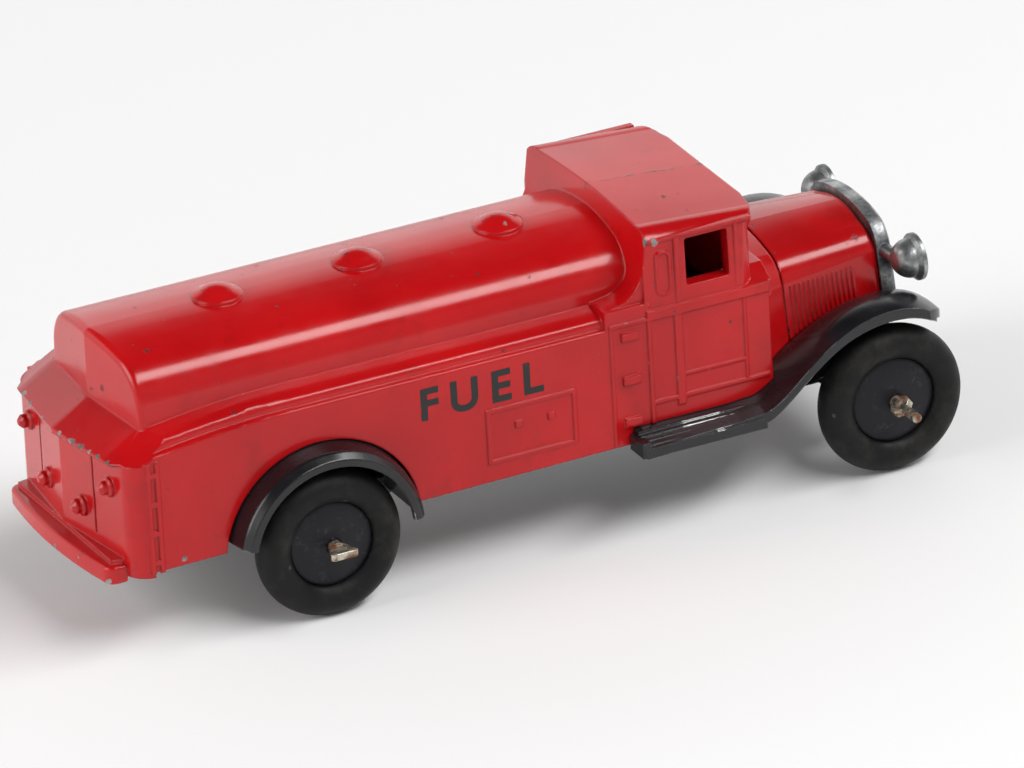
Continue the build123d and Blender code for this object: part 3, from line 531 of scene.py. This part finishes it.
def build_lettering():
    """A generic word in plain black capitals on each side of the tank skirt."""
    for side, label in ((-1, "right"), (1, "left")):
        curve = bpy.data.curves.new(f"lettering_{label}", "FONT")
        curve.body = "FUEL"
        curve.size = 1.0
        curve.space_character = 1.5
        curve.offset = 0.03
        curve.align_x = "CENTER"
        holder = bpy.data.objects.new("lettering_source", curve)
        bpy.context.scene.collection.objects.link(holder)
        bpy.context.view_layer.update()
        mesh = bpy.data.meshes.new_from_object(holder)
        bpy.data.objects.remove(holder)
        bm = bmesh.new()
        bm.from_mesh(mesh)
        bpy.data.meshes.remove(mesh)
        low = min(v.co.y for v in bm.verts)
        high = max(v.co.y for v in bm.verts)
        scale = LETTER_HEIGHT / (high - low)
        wall_y = side * LETTER_WALL_Y
        middle_x = BODY_LO[0] + LETTER_MIDDLE_X
        for vert in bm.verts:
            x = middle_x - side * vert.co.x * scale
            vert.co = Vector((x, wall_y, LETTER_FOOT_Z + (vert.co.y - low) * scale))
        top = bmesh.ops.extrude_face_region(bm, geom=bm.faces[:])["geom"]
        moved = [item for item in top if isinstance(item, bmesh.types.BMVert)]
        bmesh.ops.translate(bm, verts=moved, vec=(0, side * LETTER_THICK, 0))
        piece = finish_piece(bm, f"lettering_{label}", "lettering_black", "truck", "black_enamel")
        for face in piece.data.polygons:
            face.use_smooth = False


def paint_cad_nodes():
    """Give each carried-over CAD node its detailed material."""
    slots = {entry["node"]: entry["material_slot"] for entry in frame["record"]["subparts"]}
    for name, node_object in NODES.items():
        data = node_object.data
        data.materials.clear()
        data.materials.append(MATERIALS[slots[name]])


# ---------------------------------------------------------------- stage, light, camera
def build_stage():
    """A plain pale floor."""
    bm = bmesh.new()
    bmesh.ops.create_grid(bm, x_segments=1, y_segments=1, size=3.0)
    mesh = bpy.data.meshes.new("floor")
    bm.to_mesh(mesh)
    bm.free()
    floor = bpy.data.objects.new("floor", mesh)
    bpy.context.scene.collection.objects.link(floor)
    material, tree, shader = new_material("pale_floor")
    shader.inputs["Base Color"].default_value = (0.9, 0.9, 0.9, 1)
    shader.inputs["Roughness"].default_value = 0.75
    mesh.materials.append(material)


def area_light(name, place, aim, size, power):
    """A rectangular soft light at a place, facing its aim."""
    data = bpy.data.lights.new(name, "AREA")
    data.shape = "RECTANGLE"
    data.size, data.size_y = size
    data.energy = power
    light = bpy.data.objects.new(name, data)
    light.location = place
    light.rotation_euler = (Vector(aim) - Vector(place)).to_track_quat("-Z", "Y").to_euler()
    bpy.context.scene.collection.objects.link(light)


def build_lights():
    """A long soft box overhead, a fill beyond the tail, and a bright backdrop low down behind the object."""
    area_light("overhead_box", (0.53, -0.63, 1.13), (0, 0, 0.02), (1.5, 0.36), 17.0)
    area_light("tail_fill", (-1.25, 0.1, 0.62), (0, 0, 0.02), (0.9, 0.8), 9.5)
    world = bpy.data.worlds.new("studio")
    bpy.context.scene.world = world
    world.use_nodes = True
    tree = world.node_tree
    tree.nodes.clear()
    output = node(tree, "ShaderNodeOutputWorld")
    background = node(tree, "ShaderNodeBackground")
    link(tree, background.outputs["Background"], output.inputs["Surface"])
    coords = node(tree, "ShaderNodeTexCoord")
    separate = node(tree, "ShaderNodeSeparateXYZ")
    link(tree, coords.outputs["Generated"], separate.inputs["Vector"])
    low = remap(tree, separate.outputs["Z"], 0.48, 0.62, 1.25, 0.05)
    behind = remap(tree, separate.outputs["Y"], -0.6, 0.1, 0.35, 1.0)
    link(tree, math(tree, "MULTIPLY", low, behind), background.inputs["Strength"])
    background.inputs["Color"].default_value = (1, 1, 1, 1)


CAMERA = {
    "azimuth": -24.87,
    "elevation": 24.82,
    "roll": -3.27,
    "distance": 2.5,
    "aim": (-0.62 * MM, 0, 0.016),
    "shift": (4.94 * MM, -0.79 * MM),
    "lens": 794.47,
}


def build_camera():
    """A long lens from behind and to the right of the truck."""
    azimuth, elevation, roll = (radians(CAMERA[k]) for k in ("azimuth", "elevation", "roll"))
    back = Vector((sin(azimuth) * cos(elevation), -cos(azimuth) * cos(elevation), sin(elevation)))
    level = Vector((cos(azimuth), sin(azimuth), 0))
    upright = back.cross(level)
    right = cos(roll) * level + sin(roll) * upright
    up = -sin(roll) * level + cos(roll) * upright
    place = Vector(CAMERA["aim"]) + back * CAMERA["distance"]
    place += right * CAMERA["shift"][0] + up * CAMERA["shift"][1]
    data = bpy.data.cameras.new("camera")
    data.lens = CAMERA["lens"]
    data.sensor_width = 36
    data.clip_start = 0.05
    data.clip_end = 50
    camera = bpy.data.objects.new("camera", data)
    matrix = Matrix((right, up, back)).transposed().to_4x4()
    matrix.translation = place
    camera.matrix_world = matrix
    bpy.context.scene.collection.objects.link(camera)
    bpy.context.scene.camera = camera


paint_cad_nodes()
for wheel in WHEELS:
    build_tyre(wheel)
    build_hub(wheel)
build_lettering()
build_stage()
build_lights()
build_camera()
bpy.context.scene.view_settings.view_transform = "Standard"
